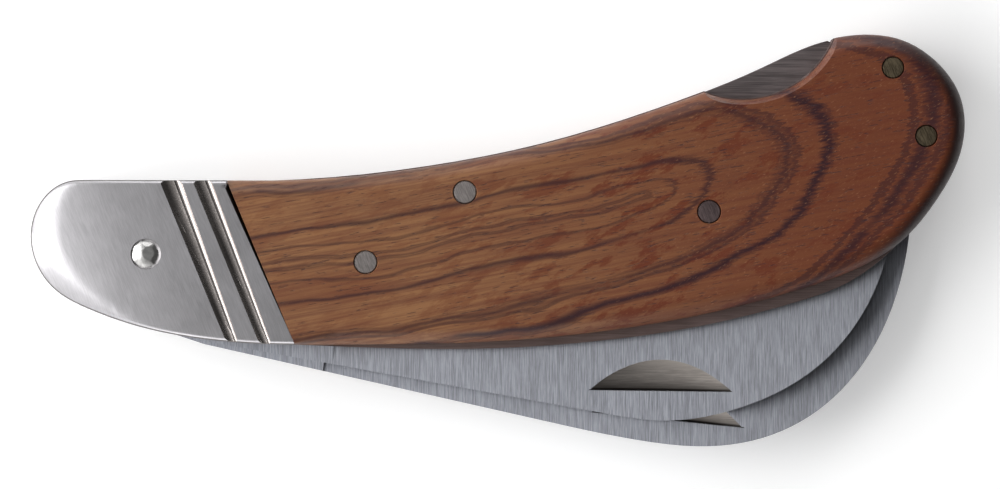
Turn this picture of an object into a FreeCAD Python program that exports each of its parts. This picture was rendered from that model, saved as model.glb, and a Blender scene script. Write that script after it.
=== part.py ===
import FreeCAD, Part

import math
import os

# Folding garden knife with two blades on one pivot: a straight-edged grafting blade in front and a
# hooked pruning blade behind it, each held by its own rocking back lock.
#
# Row frame, in millimetres. The closed knife lies flat on its rear scale: +X runs from the bolsters
# to the butt, +Y from the blades' spines to the handle's back, +Z out of the front scale. The origin
# is under the middle of the closed knife, at the height of the surface it lies on.

V = FreeCAD.Vector
OUT = "parts"

# ---------------------------------------------------------------- driving dimensions
SCALE_T = 3.6  # a wooden scale or a bolster
LINER_T = 1.0  # an outer liner
DIVIDER_T = 0.6  # the middle liner, between the two blade bays
BLADE_T = 2.0  # a blade, a lock bar and a lock spring
SIDE_GAP = 0.1  # free space on each side of what moves in a bay
PIN_R = 1.4  # handle pins
BUTT_PIN_R = 1.3
PIN_SUNK = 0.02  # how far a pin's ends lie under the wood's faces
PIN_CHAMFER = 0.08
RIVET_R = 1.6  # the shank that both blades turn on
HEAD_R = 1.85  # its peened heads
HEAD_H = 0.75
HEAD_DOME = 0.45  # height of a head's domed part
SEAT_R = 1.9  # the round seat that a head fills
RUN_FIT = 0.03  # radial clearance of a hole that turns on its pin
PUSH_FIT = 0.02  # radial clearance of a fixed pin

# places of the pins, seen from the front
PIVOT = (-43.2, -1.6)
ROCKER = (-4.0, 6.0)
MIDDLE = (-16.2, -2.6)
FULCRUM = (26.0, 3.6)
BUTT_UPPER = (48.6, 21.3)
BUTT_LOWER = (52.7, 12.9)

# heights of the layers
BAY = BLADE_T + 2 * SIDE_GAP
Z_REAR_LINER = SCALE_T
Z_REAR_BAY = Z_REAR_LINER + LINER_T
Z_DIVIDER = Z_REAR_BAY + BAY
Z_FRONT_BAY = Z_DIVIDER + DIVIDER_T
Z_FRONT_LINER = Z_FRONT_BAY + BAY
Z_FRONT_SCALE = Z_FRONT_LINER + LINER_T
THICK = Z_FRONT_SCALE + SCALE_T
MID_Z = THICK / 2

# ---------------------------------------------------------------- outline of the handle
BACK_LEFT = (-51.5, 7.5)  # where the straight back of the bolsters starts
BACK_BEND = (-28.0, 7.45)  # where the back starts to rise
SOLE_LEFT = (-25.0, -12.75)
WOOD_STEP = 0.15  # how far the wood stays under the metal along the back
BACK = [(-16.9, 8.2), (-7.1, 9.5), (2.8, 11.4), (12.6, 14.05), (22.4, 17.35), (32.3, 21.35)]
BUTT = [(39.4, 24.45), (44.8, 25.4), (49.6, 24.8), (54.0, 22.1), (56.9, 17.9), (57.5, 14.0)]
HEEL = [(56.7, 10.0), (54.2, 5.3), (49.5, -0.2)]
WOOD_SOLE = [(43.4, -3.75), (37.2, -5.95), (24.9, -9.1), (12.6, -11.15), (0.3, -12.3), (-12.0, -12.7)]
METAL_SOLE = [(43.4, -5.0), (37.2, -7.4), (24.9, -10.5), (12.6, -12.3), (0.3, -13.2), (-12.0, -13.25)]
NOSE = [(-37.3, -11.9), (-44.5, -10.4), (-50.2, -8.4), (-54.6, -5.9), (-56.9, -2.6), (-57.5, 1.0)]
NOSE_TOP = [(-56.6, 4.2), (-54.6, 6.5)]
EDGE_R = 2.2  # rounding of the wood's outer edge
NOSE_EDGE_R = 1.2

# thumb scoop over the lock bars' tails
SCOOP = (30.1, 29.8)
SCOOP_R_FACE = 13.1  # in the wood's face
SCOOP_R_WOOD = 12.45  # in the wood's back
SCOOP_R_LINER = 12.25
SCOOP_R_BLOCK = 12.0

# ---------------------------------------------------------------- bolsters
SEAM_TOP = (-33.3, 7.5)  # the slanted seam between bolster and wood
SEAM_DIR = V(0.383, -0.924, 0)
SEAM_OUT = V(-0.924, -0.383, 0)  # across the seam, towards the nose
DOME_REACH = 24.6  # from the seam to the tip of the nose
DOME_DROP = 2.2  # how far the bolster's face has fallen there
FLUTES = (6.65, 2.96)  # distances of the flutes from the seam
FLUTE_R = 1.15
FLUTE_DEPTH = 0.6

# ---------------------------------------------------------------- blades, closed
TANG_R = 6.2
TOOTH_GAP = 0.08  # between a lifted tooth and the round of the tang
TOOTH_LEFT = 0.6  # sides of the tooth, from the pivot
TOOTH_RIGHT = 3.4
TOOTH_DROP = 1.0  # how far the tooth falls into its notch
NOTCH_LEFT = 0.45
NOTCH_RIGHT = 3.65
NOTCH_DROP = TOOTH_DROP + 0.15
RAMP_END = -2.8  # the closed notch has a ramp that lifts the tooth as the blade opens
SHOULDER = (-0.45, -8.7)  # foot of the face that stops against the tooth, from the pivot
RICASSO = [(-37.15, -0.25), (-30.0, -2.3), (-24.6, -4.2)]
CHOIL = [(-23.6, -5.2), (-22.0, -5.6)]

GRAFT_SPINE = [(-36.3, -12.3), (14.0, -21.4)]
GRAFT_CURVE = [(20.6, -22.15), (29.8, -20.6), (39.7, -15.3), (45.8, -7.6), (48.4, 0.0)]
GRAFT_TIP = (48.8, 3.5)
GRAFT_HEEL = (-21.0, -6.0)
GRAFT_NICK = ((20.3, -18.35), -0.8, 8.7, 4.5)  # middle, slope, half length, height

HOOK_SPINE = [(-36.3, -12.75), (8.0, -22.75)]
HOOK_CURVE = [(17.5, -24.65), (24.9, -25.4), (32.3, -24.5), (39.7, -20.9), (45.6, -14.6), (49.9, -4.8)]
HOOK_TIP = (51.2, 4.2)
HOOK_HEEL = (-21.0, -6.2)
HOOK_SAG = 5.0  # how far the hooked edge lies off the straight line
HOOK_NICK = ((20.7, -21.95), -5.8, 9.4, 4.4)

SPINE_LAND = 0.35  # flat left along the spine by the grind
PLUNGE_X = -20.4  # where the grind starts at the edge
EDGE_HALF = 0.18  # half thickness behind the edge bevel
BEVEL_W = 0.9
BEVEL_HALF = 0.03
GRAFT_GRIND_W = 20.0
HOOK_GRIND_W = 17.5
GRIND_OVER = 1.4  # how far the graft grind is cut past the edge, in blade widths
HOOK_OVER = 8.0  # how far the hook's grind is cut past its edge
NICK_DEPTH = 0.55
GRAFT_NICK_FALL = 0.14  # how far the ground face has fallen at the nick
HOOK_NICK_FALL = 0.07

# ---------------------------------------------------------------- lock bars, springs, butt blocks
BAR_TOP_GAP = 0.1
BAR_NECK_Y = 6.6  # underside of the neck behind the tooth, from the pivot
BAR_NECK_END = 8.0
BAR_UNDER = [(-33.7, 2.0), (-8.0, 2.05), (0.5, 2.9), (13.0, 7.0), (27.0, 11.6), (41.15, 17.7)]
BAR_END_X = 41.15
BAR_CORNER_R = 0.5
BLOCK_X = 41.6
BLOCK_Y = 7.0
SPRING_LINE = [(45.2, 9.6), (41.5, 9.3), (34.0, 7.0), (26.0, 5.52), (18.5, 5.35), (13.4, 6.42)]
SPRING_T = 0.9
SPRING_STATIONS = 12
SLOT_GAP = 0.06
FAR = 60.0  # reaches past the knife's edge from anywhere inside it


def xy(p, z=0.0):
    return V(p[0], p[1], z)


def from_pivot(x, y, z=0.0):
    return V(PIVOT[0] + x, PIVOT[1] + y, z)


def polyline(points):
    return [Part.makeLine(a, b) for a, b in zip(points, points[1:])]


def spline(points):
    curve = Part.BSplineCurve()
    curve.interpolate(points)
    return curve.toShape()


def prism(edges, z0, height):
    """A solid of that height over a closed outline drawn at z 0."""
    face = Part.Face(Part.Wire(Part.__sortEdges__(edges)))
    face.translate(V(0, 0, z0))
    return face.extrude(V(0, 0, height))


def drum(centre, r, z0, z1):
    return Part.makeCylinder(r, z1 - z0, xy(centre, z0))


def slab(origin, along, across, length, width, z0, height):
    """A block whose base starts at origin and runs along and across it."""
    a = origin + along * length
    corners = [origin, a, a + across * width, origin + across * width, origin]
    return prism(polyline([V(p.x, p.y, 0) for p in corners]), z0, height)


def flip(shape):
    """The same shape on the other side of the knife's middle plane."""
    return shape.mirror(V(0, 0, MID_Z), V(0, 0, 1))


# ---------------------------------------------------------------- handle
def handle_outline(sole, step):
    """Back, butt and sole in one curve, then the nose and the bolsters' straight back."""
    back = [(x, y - step) for x, y in BACK]
    body = [BACK_BEND, *back, *BUTT, *HEEL, *sole, SOLE_LEFT]
    nose = [SOLE_LEFT, *NOSE, *NOSE_TOP, BACK_LEFT]
    return [
        spline([xy(p) for p in body]),
        spline([xy(p) for p in nose]),
        Part.makeLine(xy(BACK_LEFT), xy(BACK_BEND)),
    ]


def nose_side():
    """Everything on the bolster's side of the seam."""
    start = xy(SEAM_TOP) - SEAM_DIR * 10
    return slab(start, SEAM_DIR, SEAM_OUT, 45, 45, -5, THICK + 10)


def wood_scoop():
    """The flared thumb scoop in the wood."""
    return Part.makeCone(SCOOP_R_WOOD, SCOOP_R_FACE, SCALE_T, xy(SCOOP, Z_FRONT_SCALE))


def outer_edges(solid, z, keep):
    """Edges of the face at height z whose middle passes the test."""
    found = []
    for edge in solid.Edges:
        box = edge.BoundBox
        if abs(box.ZMin - z) < 1e-3 and abs(box.ZMax - z) < 1e-3:
            middle = edge.valueAt((edge.FirstParameter + edge.LastParameter) / 2)
            if keep(middle):
                found.append(edge)
    return found


def off_seam(point):
    """How far a point lies from the seam, towards the nose."""
    return (V(point.x, point.y, 0) - xy(SEAM_TOP)).dot(SEAM_OUT)


def front_scale():
    wood = prism(handle_outline(WOOD_SOLE, WOOD_STEP), Z_FRONT_SCALE, SCALE_T).cut(nose_side())
    rim = outer_edges(wood, THICK, lambda p: abs(off_seam(p)) > 0.5)
    wood = wood.makeFillet(EDGE_R, rim)
    wood = wood.cut(wood_scoop())
    for pin in (ROCKER, MIDDLE, FULCRUM):
        wood = wood.cut(drum(pin, PIN_R + PUSH_FIT, 0, THICK + 1))
    for pin in (BUTT_UPPER, BUTT_LOWER):
        wood = wood.cut(drum(pin, BUTT_PIN_R + PUSH_FIT, 0, THICK + 1))
    return wood


def dome_drop(far):
    """How far the bolster's face lies under the wood's, at a distance from the seam."""
    return DOME_DROP * (max(far, 0) / DOME_REACH) ** 3


def above_dome():
    """What the domed face of the front bolster leaves free, along the seam."""
    start = xy(SEAM_TOP, THICK) - SEAM_DIR * 20
    stations = [0, 5, 10, 15, 20, DOME_REACH, DOME_REACH + 4]
    curve = [start + SEAM_OUT * far - V(0, 0, dome_drop(far)) for far in stations]
    top = [curve[-1], curve[-1] + V(0, 0, 8), curve[0] + V(0, 0, 1), curve[0]]
    face = Part.Face(Part.Wire(Part.__sortEdges__([spline(curve), *polyline(top)])))
    return face.extrude(SEAM_DIR * 60)


def dome_rim(metal):
    """The edges where the domed face meets the outer wall of the bolster."""
    faces = [f for f in metal.Faces if f.normalAt(*f.Surface.parameter(f.CenterOfMass)).z > 0.5]
    edges = [e for f in faces for e in f.Edges]
    return [e for e in edges if abs(off_seam(e.valueAt(sum(e.ParameterRange) / 2))) > 0.5]


def front_bolster():
    metal = prism(handle_outline(METAL_SOLE, 0), Z_FRONT_SCALE, SCALE_T).common(nose_side())
    metal = metal.cut(above_dome())
    metal = metal.makeFillet(NOSE_EDGE_R, dome_rim(metal))
    for far in FLUTES:
        bottom = THICK - dome_drop(far) - FLUTE_DEPTH
        start = xy(SEAM_TOP, bottom + FLUTE_R) + SEAM_OUT * far - SEAM_DIR * 10
        metal = metal.cut(Part.makeCylinder(FLUTE_R, 50, start, SEAM_DIR))
    metal = metal.cut(drum(PIVOT, RIVET_R + PUSH_FIT, 0, THICK + 1))
    return metal.cut(drum(PIVOT, SEAT_R, THICK - HEAD_H, THICK + 1))


def liner(z0, thickness):
    plate = prism(handle_outline(METAL_SOLE, 0), z0, thickness)
    plate = plate.cut(drum(SCOOP, SCOOP_R_LINER, 0, THICK))
    plate = plate.cut(drum(PIVOT, RIVET_R + PUSH_FIT, 0, THICK))
    for pin in (ROCKER, MIDDLE, FULCRUM):
        plate = plate.cut(drum(pin, PIN_R + PUSH_FIT, 0, THICK))
    for pin in (BUTT_UPPER, BUTT_LOWER):
        plate = plate.cut(drum(pin, BUTT_PIN_R + PUSH_FIT, 0, THICK))
    return plate


def pin(place, r):
    """A handle pin with a slightly broken edge, a hair under the wood's faces."""
    body = drum(place, r, PIN_SUNK, THICK - PIN_SUNK)
    ends = [e for e in body.Edges if e.Curve.TypeId == "Part::GeomCircle"]
    return body.makeChamfer(PIN_CHAMFER, ends)


def pivot_rivet():
    """The blades' axle: a shank with a low domed head peened at each end."""
    base = THICK - HEAD_H
    dome_r = (HEAD_R * HEAD_R + HEAD_DOME * HEAD_DOME) / (2 * HEAD_DOME)
    ball = Part.makeSphere(dome_r, xy(PIVOT, THICK - PIN_SUNK - dome_r))
    head = ball.common(drum(PIVOT, HEAD_R, base, THICK))
    shank = drum(PIVOT, RIVET_R, THICK - base, base)
    return shank.fuse([head, flip(head)]).removeSplitter()


def butt_block(z0):
    """Fills the bay at the butt behind the lock bar and holds the end of its spring."""
    block = prism(handle_outline(METAL_SOLE, 0), z0, BAY)
    block = block.common(Part.makeBox(FAR, FAR, BAY, V(BLOCK_X, BLOCK_Y, z0)))
    slot = strip(SPRING_LINE, SPRING_T + 2 * SLOT_GAP, z0, BAY)
    block = block.cut(slot)
    block = block.cut(drum(SCOOP, SCOOP_R_BLOCK, 0, THICK))
    for place in (BUTT_UPPER, BUTT_LOWER):
        block = block.cut(drum(place, BUTT_PIN_R + PUSH_FIT, 0, THICK))
    return block


# ---------------------------------------------------------------- lock
def strip(line, thickness, z0, height):
    """A leaf of constant thickness that follows a line of points."""
    centre = spline([xy(p) for p in line])
    first, last = centre.FirstParameter, centre.LastParameter
    above, below = [], []
    for i in range(SPRING_STATIONS + 1):
        t = first + (last - first) * i / SPRING_STATIONS
        at, way = centre.valueAt(t), centre.tangentAt(t)
        side = V(-way.y, way.x, 0).normalize() * (thickness / 2)
        above.append(at + side)
        below.append(at - side)
    edges = [spline(above), spline(below)]
    edges += [Part.makeLine(above[0], below[0]), Part.makeLine(above[-1], below[-1])]
    return prism(edges, z0, height)


def tooth_arc(drop, x0, x1, turn=1):
    """The tooth's round underside, let down by drop, from x0 to x1 beside the pivot."""
    r = TANG_R + TOOTH_GAP

    def at(x):
        return from_pivot(turn * x, turn * (math.sqrt(r * r - x * x) - drop))

    return at(x0), Part.Arc(at(x0), at((x0 + x1) / 2), at(x1)).toShape(), at(x1)


def lock_bar(z0):
    """Rocking bar along the back: a tooth at the pivot end and a thumb tail at the butt."""
    left, under, right = tooth_arc(0, TOOTH_LEFT, TOOTH_RIGHT)
    top_left = from_pivot(TOOTH_LEFT, FAR)
    top_right = V(BAR_END_X, FAR, 0)
    neck = [from_pivot(TOOTH_RIGHT, BAR_NECK_Y), from_pivot(BAR_NECK_END, BAR_NECK_Y)]
    lower = [right, *neck, *[xy(p) for p in BAR_UNDER], top_right, top_left, left]
    zone = prism([under, *polyline(lower)], z0 + SIDE_GAP, BLADE_T)
    inside = prism(handle_outline(METAL_SOLE, 0), z0 + SIDE_GAP, BLADE_T)
    inside.translate(V(0, -BAR_TOP_GAP, 0))
    bar = zone.common(inside)
    bar = bar.cut(drum(ROCKER, PIN_R + RUN_FIT, 0, THICK))
    corners = [
        e
        for e in bar.Edges
        if abs(e.BoundBox.XMax - BAR_END_X) < 0.01
        and abs(e.BoundBox.XMin - BAR_END_X) < 0.01
        and e.BoundBox.ZLength > BLADE_T - 0.01
    ]
    return bar.makeFillet(BAR_CORNER_R, corners)


# ---------------------------------------------------------------- blades
def notch_tool(turn, z0, ramp):
    """What is cut out of the round of the tang under the tooth: turn 1 closed, -1 open."""
    left, floor, right = tooth_arc(NOTCH_DROP, NOTCH_LEFT, NOTCH_RIGHT, turn)
    out = TANG_R + 1.2
    path = [right, from_pivot(turn * NOTCH_RIGHT, turn * out)]
    if ramp:
        foot = math.sqrt(TANG_R**2 - RAMP_END**2)
        path += [from_pivot(RAMP_END, out), from_pivot(RAMP_END, foot), left]
    else:
        path += [from_pivot(turn * NOTCH_LEFT, turn * out), left]
    return prism([floor, *polyline(path)], z0 - 1, BLADE_T + 2)


def blank(spine, curve, tip, heel, edge, z0):
    """A blade's flat blank with its tang, before it is ground."""
    start, bend = xy(spine[0]), xy(spine[1])
    round_part = spline_from(bend, bend - start, [xy(p) for p in curve] + [xy(tip)])
    back = [xy(heel), *[xy(p) for p in reversed(CHOIL)], *[xy(p) for p in reversed(RICASSO)]]
    hub = [from_pivot(0, 0), from_pivot(SHOULDER[0], 0), from_pivot(*SHOULDER), start, bend]
    outline = [round_part, edge, *polyline([*back, *hub])]
    body = prism(outline, z0, BLADE_T)
    body = body.fuse(drum(PIVOT, TANG_R, z0, z0 + BLADE_T)).removeSplitter()
    body = body.cut(notch_tool(1, z0, True)).cut(notch_tool(-1, z0, False))
    return body.cut(drum(PIVOT, RIVET_R + RUN_FIT, 0, THICK))


def spline_from(start, way, points):
    """A curve through start and the points that leaves start along way."""
    curve = Part.BSplineCurve()
    reach = (points[0] - start).Length
    tangents = [V(way).normalize() * reach] + [V(0, 0, 0)] * len(points)
    curve.interpolate(
        Points=[start, *points],
        Tangents=tangents,
        TangentFlags=[True] + [False] * len(points),
    )
    return curve.toShape()


def nick_cutter(nick, face_z):
    """A large drum laid almost flat, so that it cuts a crescent with one straight, deep side."""
    (x, y), slope, half, height = nick
    r = (half * half + NICK_DEPTH * NICK_DEPTH) / (2 * NICK_DEPTH)
    tilt = math.atan2(NICK_DEPTH, height)
    turn = FreeCAD.Rotation(V(0, 0, 1), slope)
    along = turn.multVec(V(0, math.cos(tilt), math.sin(tilt)))
    up = turn.multVec(V(0, -math.sin(tilt), math.cos(tilt)))
    foot = V(x, y, face_z - NICK_DEPTH)
    return Part.makeCylinder(r, 12, foot + up * r, along)


def side_cut(tool, z_mid):
    """A grinding tool made for the upper face, and its mirror image for the lower one."""
    return [tool, tool.mirror(V(0, 0, z_mid), V(0, 0, 1))]


def graft_grind(z_mid):
    """Twisted flat grind: full thickness along the spine, thin along the straight edge."""
    s0, s1 = xy(GRAFT_SPINE[0]), xy(GRAFT_SPINE[1])
    spine_way = (s1 - s0).normalize()
    inward = V(-spine_way.y, spine_way.x, 0) * SPINE_LAND
    heel, tip = xy(GRAFT_HEEL), xy(GRAFT_TIP)
    edge_way = (tip - heel).normalize()

    def station(x, edge_x):
        spine_at = s0 + spine_way * ((x - s0.x) / spine_way.x) + inward
        edge_at = heel + edge_way * ((edge_x - heel.x) / edge_way.x)
        beyond = spine_at + (edge_at - spine_at) * GRIND_OVER
        fall = (BLADE_T / 2 - EDGE_HALF) * GRIND_OVER
        top = z_mid + BLADE_T / 2
        return Part.makePolygon(
            [
                V(spine_at.x, spine_at.y, top),
                V(beyond.x, beyond.y, top - fall),
                V(beyond.x, beyond.y, top + 1),
                V(spine_at.x, spine_at.y, top),
            ]
        )

    plunge_edge_x = 2 * PLUNGE_X - GRAFT_HEEL[0]
    return Part.makeLoft([station(PLUNGE_X, plunge_edge_x), station(FAR, FAR)], True, True)


def graft_bevel(z_mid):
    heel, tip = xy(GRAFT_HEEL), xy(GRAFT_TIP)
    way = (tip - heel).normalize()
    inward = V(way.y, -way.x, 0)
    start = heel - way * 0.2
    behind = EDGE_HALF + (BLADE_T / 2 - EDGE_HALF) * BEVEL_W / GRAFT_GRIND_W
    rise = behind - BEVEL_HALF
    section = Part.makePolygon(
        [
            start + inward * BEVEL_W + V(0, 0, z_mid + behind),
            start - inward * BEVEL_W + V(0, 0, z_mid + BEVEL_HALF - rise),
            start - inward * BEVEL_W + V(0, 0, z_mid + behind + 1),
            start + inward * BEVEL_W + V(0, 0, z_mid + behind),
        ]
    )
    return Part.Face(section).extrude(way * FAR * 1.5)


def hook_arc():
    """Centre and radius of the hooked edge."""
    heel, tip = xy(HOOK_HEEL), xy(HOOK_TIP)
    chord = tip - heel
    half = chord.Length / 2
    r = (half * half + HOOK_SAG * HOOK_SAG) / (2 * HOOK_SAG)
    up = V(-chord.y, chord.x, 0).normalize()
    return (heel + tip) * 0.5 + up * (r - HOOK_SAG), r


def ring_cut(profile, z_mid):
    """The (radius, height) profile swept round the hooked edge's centre, from plunge to past the tip."""
    centre, _ = hook_arc()
    start = math.degrees(math.atan2(HOOK_HEEL[1] - centre.y, PLUNGE_X - centre.x))
    points = [V(centre.x + r, centre.y, z_mid + z) for r, z in profile]
    face = Part.Face(Part.makePolygon([*points, points[0]]))
    face.rotate(centre, V(0, 0, 1), start)
    return face.revolve(centre, V(0, 0, 1), 40)


def hook_grind(z_mid):
    _, r = hook_arc()
    rate = (BLADE_T / 2 - EDGE_HALF) / HOOK_GRIND_W
    inner = r - HOOK_OVER
    top = BLADE_T / 2
    profile = [(inner, EDGE_HALF - HOOK_OVER * rate), (r + HOOK_GRIND_W, top), (inner, top + 1)]
    return ring_cut(profile, z_mid)


def hook_bevel(z_mid):
    _, r = hook_arc()
    rate = (BLADE_T / 2 - EDGE_HALF) / HOOK_GRIND_W
    behind = EDGE_HALF + rate * BEVEL_W
    rise = behind - BEVEL_HALF
    profile = [
        (r - BEVEL_W, BEVEL_HALF - rise),
        (r + BEVEL_W, behind),
        (r - BEVEL_W, behind + 1),
    ]
    return ring_cut(profile, z_mid)


def grafting_blade(z0):
    z_mid = z0 + BLADE_T / 2
    edge = Part.makeLine(xy(GRAFT_TIP), xy(GRAFT_HEEL))
    blade = blank(GRAFT_SPINE, GRAFT_CURVE, GRAFT_TIP, GRAFT_HEEL, edge, z0)
    for tool in (*side_cut(graft_grind(z_mid), z_mid), *side_cut(graft_bevel(z_mid), z_mid)):
        blade = blade.cut(tool)
    return blade.cut(nick_cutter(GRAFT_NICK, z0 + BLADE_T - GRAFT_NICK_FALL))


def pruning_blade(z0):
    z_mid = z0 + BLADE_T / 2
    centre, r = hook_arc()
    low = centre + ((xy(HOOK_TIP) + xy(HOOK_HEEL)) * 0.5 - centre).normalize() * r
    edge = Part.Arc(xy(HOOK_TIP), low, xy(HOOK_HEEL)).toShape()
    blade = blank(HOOK_SPINE, HOOK_CURVE, HOOK_TIP, HOOK_HEEL, edge, z0)
    for tool in (*side_cut(hook_grind(z_mid), z_mid), *side_cut(hook_bevel(z_mid), z_mid)):
        blade = blade.cut(tool)
    return blade.cut(nick_cutter(HOOK_NICK, z0 + BLADE_T - HOOK_NICK_FALL))


# ---------------------------------------------------------------- build
def build():
    wood, bolster = front_scale(), front_bolster()
    return {
        "front_scale": wood,
        "rear_scale": flip(wood),
        "front_bolster": bolster,
        "rear_bolster": flip(bolster),
        "front_liner": liner(Z_FRONT_LINER, LINER_T),
        "rear_liner": liner(Z_REAR_LINER, LINER_T),
        "divider_liner": liner(Z_DIVIDER, DIVIDER_T),
        "grafting_blade": grafting_blade(Z_FRONT_BAY + SIDE_GAP),
        "pruning_blade": pruning_blade(Z_REAR_BAY + SIDE_GAP),
        "pivot_rivet": pivot_rivet(),
        "front_lock_bar": lock_bar(Z_FRONT_BAY),
        "rear_lock_bar": lock_bar(Z_REAR_BAY),
        "front_lock_spring": strip(SPRING_LINE, SPRING_T, Z_FRONT_BAY + SIDE_GAP, BLADE_T),
        "rear_lock_spring": strip(SPRING_LINE, SPRING_T, Z_REAR_BAY + SIDE_GAP, BLADE_T),
        "front_butt_block": butt_block(Z_FRONT_BAY),
        "rear_butt_block": butt_block(Z_REAR_BAY),
        "rocker_pin": pin(ROCKER, PIN_R),
        "middle_pin": pin(MIDDLE, PIN_R),
        "fulcrum_pin": pin(FULCRUM, PIN_R),
        "upper_butt_pin": pin(BUTT_UPPER, BUTT_PIN_R),
        "lower_butt_pin": pin(BUTT_LOWER, BUTT_PIN_R),
    }


def main():
    os.makedirs(OUT, exist_ok=True)
    whole = FreeCAD.BoundBox()
    for name, shape in build().items():
        solids = shape.Solids
        box = shape.BoundBox
        whole.add(box)
        print(
            f"{name}: {len(solids)} solid, valid {shape.isValid()}, {shape.Volume:.1f} mm3, "
            f"x {box.XMin:.2f} {box.XMax:.2f} y {box.YMin:.2f} {box.YMax:.2f} "
            f"z {box.ZMin:.2f} {box.ZMax:.2f}"
        )
        made = solids[0] if len(solids) == 1 else Part.makeCompound(solids)
        made.exportStep(f"{OUT}/{name}.step")
    print("whole", whole)


main()
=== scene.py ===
"""Visual model of a folding grafting knife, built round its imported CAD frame.

Lengths are in metres and the frame is the CAD model's own: +X runs from the bolsters to the butt, +Y from
the blades' spines to the handle's back, and +Z out of the front scale. The closed knife lies on z = 0.
"""

import sys
import logging
import math
from abc import ABC, abstractmethod
from collections.abc import Callable, Iterable, Sequence
from dataclasses import dataclass
from enum import Enum

import bmesh
import bpy
from bmesh.types import BMEdge, BMesh, BMVert
from mathutils import Matrix, Vector


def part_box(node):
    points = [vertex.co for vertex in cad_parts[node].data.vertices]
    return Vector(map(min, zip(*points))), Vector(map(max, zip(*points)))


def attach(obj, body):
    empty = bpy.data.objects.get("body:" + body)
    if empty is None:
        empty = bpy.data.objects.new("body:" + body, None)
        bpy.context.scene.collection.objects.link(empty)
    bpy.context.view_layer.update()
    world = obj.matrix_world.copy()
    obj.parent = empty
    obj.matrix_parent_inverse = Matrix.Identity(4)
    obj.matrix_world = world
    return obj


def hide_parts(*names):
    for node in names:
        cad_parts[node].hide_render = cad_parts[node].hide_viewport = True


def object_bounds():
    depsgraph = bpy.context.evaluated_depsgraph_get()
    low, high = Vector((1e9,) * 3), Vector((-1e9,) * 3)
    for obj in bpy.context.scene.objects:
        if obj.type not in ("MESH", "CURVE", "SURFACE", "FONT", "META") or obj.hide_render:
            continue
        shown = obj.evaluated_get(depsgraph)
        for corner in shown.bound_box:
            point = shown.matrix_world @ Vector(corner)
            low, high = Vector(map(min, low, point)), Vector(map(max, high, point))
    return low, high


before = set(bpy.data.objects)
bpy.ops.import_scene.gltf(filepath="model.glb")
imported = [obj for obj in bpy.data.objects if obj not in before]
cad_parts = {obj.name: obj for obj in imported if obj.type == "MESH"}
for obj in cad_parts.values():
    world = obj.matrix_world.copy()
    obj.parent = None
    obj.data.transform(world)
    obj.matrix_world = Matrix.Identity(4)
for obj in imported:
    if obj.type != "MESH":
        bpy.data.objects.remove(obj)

LOG = logging.getLogger("grafting_knife")

MM = 0.001
WELD = 1e-6  # corners of the CAD triangles closer than this are one corner
SMOOTH_UNDER = math.radians(32)  # edges flatter than this are shaded as one surface
FLAT_UNDER = math.radians(0.05)  # CAD triangles that turn by less than this are one flat face
SHORTEST = 0.05 * MM  # shorter edges of an outline are dropped
SLICE_AT = 0.05 * MM  # height above its base at which a plate's outline is taken
CUT_TRIES = 8  # how often a cut is made until its volume is right

CAD_LOW, CAD_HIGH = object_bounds()
MID_Z = (CAD_LOW.z + CAD_HIGH.z) / 2

Colour = tuple[float, float, float]
Socket = bpy.types.NodeSocket
Input = float | Colour | Socket


class Side(Enum):
    """The two faces of the knife, which are mirror images of each other."""

    FRONT = "front"
    REAR = "rear"


class Grain(Enum):
    """Directions that a steel surface is brushed in."""

    ALONG = 0.0
    ACROSS = math.radians(90)
    SLANTED = math.radians(-68)


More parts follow.
